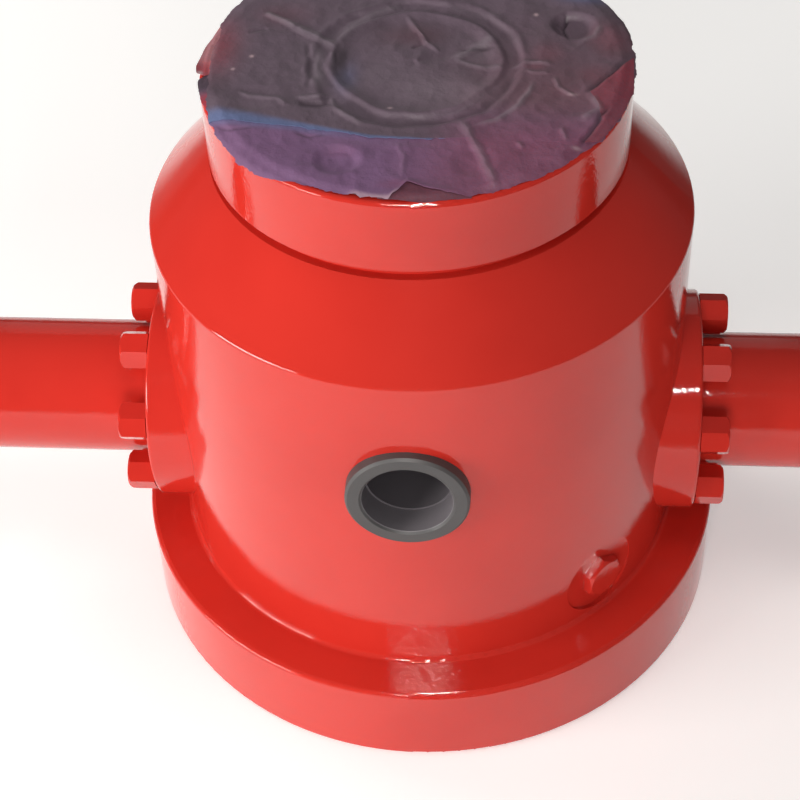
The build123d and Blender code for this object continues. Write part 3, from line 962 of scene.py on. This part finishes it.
def upper_tints(x, y):
    """Grey with a blue margin along the front, and purple and red at the front right."""
    right = smooth_step(x, *UPPER_RED_X) * smooth_step(y, *UPPER_RED_Y)
    width = np.interp(x, list(BLUE_WIDTHS), list(BLUE_WIDTHS.values()))
    band = smooth_step(y - upper_front_at(x), width, BLUE_BAND_SHARE * width) * (x < BLUE_BAND_END_X)
    return stained(x, y, 0.6 * right, blue=0.85 * band, mist=0.26 * right)


def tongue_tints(x, y):
    """Half painted with red mist, and in painted shade under the torn edge above it."""
    return stained(x, y, 0.7, mist=0.55, shade=0.6)


def right_fold_tints(x, y):
    """Half painted, redder towards the back."""
    return stained(x, y, 0.2, mist=0.42 + 0.15 * smooth_step(y, *FOLD_RED_Y))


def left_flap_tints(x, y):
    """Painted red, with a painted highlight that makes it paler towards the back, where it faces the light.
    """
    return stained(x, y, 1.0, mist=0.92, pale=0.12 + 0.3 * smooth_step(y, *FLAP_HIGHLIGHT_Y))


def left_rag_tints(x, y):
    """Painted shade at the back, for the gap under the flap, and painted red at the front."""
    return stained(
        x, y, 0.4, mist=0.9 * smooth_step(y, *RAG_RED_Y), shade=0.85 * smooth_step(y, *RAG_SHADE_Y))


class PREVENTER_OT_lay_film(bpy.types.Operator):
    """Lays the torn masking film over the studded top in place of the plain disc"""

    bl_idname = "preventer.lay_film"
    bl_label = "Lay the masking film"

    def execute(self, context):
        settings = context.scene.preventer_film
        noise.seed_set(settings.seed)
        finish = film_material(settings)
        upper = film_sheet(
            "masking_film_upper", rim_run(*UPPER_AZIMUTHS) + UPPER_FRONT, upper_tints, settings,
            layer=2, fray=1.4, curl=front_sink)
        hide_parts("masking_film")
        sheets = [
            upper,
            film_sheet(
                "masking_film_lower", rim_run(*LOWER_AZIMUTHS), lower_tints, settings,
                layer=1, fray=1.4, curl=lip_curl),
            film_sheet("masking_film_tongue", TONGUE, tongue_tints, settings, layer=0.3, fray=0.5),
            film_sheet(
                "masking_film_right_fold", RIGHT_FOLD, right_fold_tints, settings, layer=2.3, fray=0.4),
            film_sheet(
                "masking_film_left_flap", LEFT_FLAP, left_flap_tints, settings,
                layer=0.4, fray=0.4, curl=flap_curl),
            film_sheet("masking_film_left_rag", LEFT_RAG, left_rag_tints, settings, layer=0.2, fray=0.5),
        ]
        for sheet in sheets:
            sheet.data.materials.append(finish)
        return {"FINISHED"}


# Each lamp has the setting that holds its level, its azimuth and elevation in degrees and its distance in
# metres, its width and height in metres, and whether gloss mirrors it
LAMPS = [
    ("key_lamp", "key_level", (150, 30, 2.4), (1.2, 1.2), False),
    ("left_fill", "left_level", (-150, 14, 2.4), (1.4, 0.5), True),
    ("front_fill", "front_level", (-90, 18, 2.4), (0.8, 0.8), False),
    ("top_lamp", "top_level", (-60, 82, 2.4), (1.0, 1.0), False),
    ("rear_panel", "rear_level", (95, 20, 2.5), (1.6, 1.6), True),
    ("edge_strip", "strip_level", (-92, 51.5, 2.3), (0.65, 0.07), True),
]
# Where the pale floor has faded out, as a share of its reach
FLOOR_FADE_SHARE = 1.6
WHITE = (1, 1, 1, 1)
# The camera's sensor in millimetres and the nearest that it sees in metres
SENSOR_WIDTH = 36.0
NEAREST_SEEN = 0.01


def floor_material(settings):
    """A pale floor that darkens far away and looks whiter to the eye and in mirrors than it lights."""
    material, surface, place = new_material("pale_floor")
    surface.inputs["Roughness"].default_value = FLOOR_ROUGHNESS
    tree = material.node_tree
    away = tree.nodes.new("ShaderNodeVectorMath")
    away.operation = "LENGTH"
    tree.links.new(place.outputs["Object"], away.inputs[0])
    faded = FLOOR_FADE_SHARE * settings.pale_reach
    beyond = ramp_between(tree, away.outputs["Value"], settings.pale_reach, faded)
    colour = mix_colour(tree, beyond, settings.floor_colour, settings.far_colour)
    tree.links.new(colour, surface.inputs["Base Color"])
    path = tree.nodes.new("ShaderNodeLightPath")
    seen = math_node(tree, "MAXIMUM", path.outputs["Is Camera Ray"], path.outputs["Is Glossy Ray"])
    seen = math_node(tree, "MAXIMUM", seen, path.outputs["Is Transmission Ray"])
    glow = math_node(tree, "MULTIPLY", seen, math_node(tree, "SUBTRACT", 1.0, beyond))
    glow = math_node(tree, "MULTIPLY", glow, settings.floor_glow)
    tree.links.new(glow, surface.inputs["Emission Strength"])
    surface.inputs["Emission Color"].default_value = WHITE
    return material


def add_lamp(name, target, direction, size, level, colour):
    """A flat lamp that faces a point from an azimuth, an elevation and a distance."""
    azimuth, elevation, distance = direction
    turn = Matrix.Rotation(math.radians(azimuth), 3, "Z") @ Matrix.Rotation(math.radians(-elevation), 3, "Y")
    light = bpy.data.lights.new(name, "AREA")
    light.energy = level * (math.pi * distance) ** 2
    light.shape = "RECTANGLE"
    light.size, light.size_y = size
    light.color = colour
    lamp = bpy.data.objects.new(name, light)
    lamp.location = target + turn @ Vector((distance, 0, 0))
    lamp.rotation_euler = (target - lamp.location).to_track_quat("-Z", "Y").to_euler()
    bpy.context.scene.collection.objects.link(lamp)
    return lamp


def add_camera(settings):
    """A camera where the photograph was taken."""
    lens = bpy.data.cameras.new("photo_camera")
    lens.lens = settings.lens
    lens.sensor_width = SENSOR_WIDTH
    lens.clip_start = NEAREST_SEEN
    camera = bpy.data.objects.new("photo_camera", lens)
    bpy.context.scene.collection.objects.link(camera)
    eye = Vector((
        settings.camera_distance * math.cos(settings.camera_azimuth),
        settings.camera_distance * math.sin(settings.camera_azimuth),
        settings.camera_height,
    ))
    turn = Matrix.Rotation(settings.camera_yaw, 4, "Z")
    tilt = Matrix.Rotation(settings.camera_pitch, 4, "X")
    roll = Matrix.Rotation(settings.camera_roll, 4, "Z")
    camera.matrix_world = Matrix.Translation(eye) @ turn @ tilt @ roll
    return camera


class PREVENTER_OT_set_stage(bpy.types.Operator):
    """Lays the floor, hangs the lamps and stands the camera where the photograph was taken"""

    bl_idname = "preventer.set_stage"
    bl_label = "Set the stage"

    def execute(self, context):
        settings = context.scene.preventer_stage
        bpy.ops.object.select_all(action="DESELECT")
        bpy.ops.mesh.primitive_plane_add(size=settings.floor_size, location=(0, 0, 0))
        floor = context.object
        floor.name = "studio_floor"
        floor.data.materials.append(floor_material(settings))

        world = bpy.data.worlds.new("studio_sky")
        world.use_nodes = True
        sky = world.node_tree.nodes["Background"]
        sky.inputs["Color"].default_value = WHITE
        sky.inputs["Strength"].default_value = settings.sky_strength
        context.scene.world = world

        target = Vector((0, 0, BODY_HIGH.z / 2))
        for name, level, direction, size, mirrored in LAMPS:
            lamp = add_lamp(name, target, direction, size, getattr(settings, level), settings.lamp_colour)
            lamp.visible_glossy = mirrored
        bpy.data.objects["edge_strip"].visible_diffuse = False

        context.scene.camera = add_camera(settings)
        context.scene.view_settings.view_transform = "Standard"
        return {"FINISHED"}


class PREVENTER_PT_dress(bpy.types.Panel):
    """Lists the steps that dress the preventer"""

    bl_idname = "PREVENTER_PT_dress"
    bl_label = "Blowout preventer"
    bl_space_type = "VIEW_3D"
    bl_region_type = "UI"
    bl_category = "Preventer"

    def draw(self, context):
        for step in STEPS:
            self.layout.operator(step.bl_idname)


STEPS = (
    PREVENTER_OT_paint_castings,
    PREVENTER_OT_finish_bushings,
    PREVENTER_OT_finish_rams,
    PREVENTER_OT_lay_film,
    PREVENTER_OT_set_stage,
)
SETTINGS = {
    "preventer_enamel": EnamelSettings,
    "preventer_film": FilmSettings,
    "preventer_stage": StageSettings,
}


def register():
    for name, group in SETTINGS.items():
        bpy.utils.register_class(group)
        setattr(bpy.types.Scene, name, PointerProperty(type=group))
    for step in STEPS:
        bpy.utils.register_class(step)
    bpy.utils.register_class(PREVENTER_PT_dress)


def unregister():
    bpy.utils.unregister_class(PREVENTER_PT_dress)
    for step in reversed(STEPS):
        bpy.utils.unregister_class(step)
    for name, group in SETTINGS.items():
        delattr(bpy.types.Scene, name)
        bpy.utils.unregister_class(group)


def main():
    register()
    bpy.ops.preventer.paint_castings()
    bpy.ops.preventer.finish_bushings()
    bpy.ops.preventer.finish_rams()
    bpy.ops.preventer.lay_film()
    bpy.ops.preventer.set_stage()


if __name__ == "__main__":
    main()
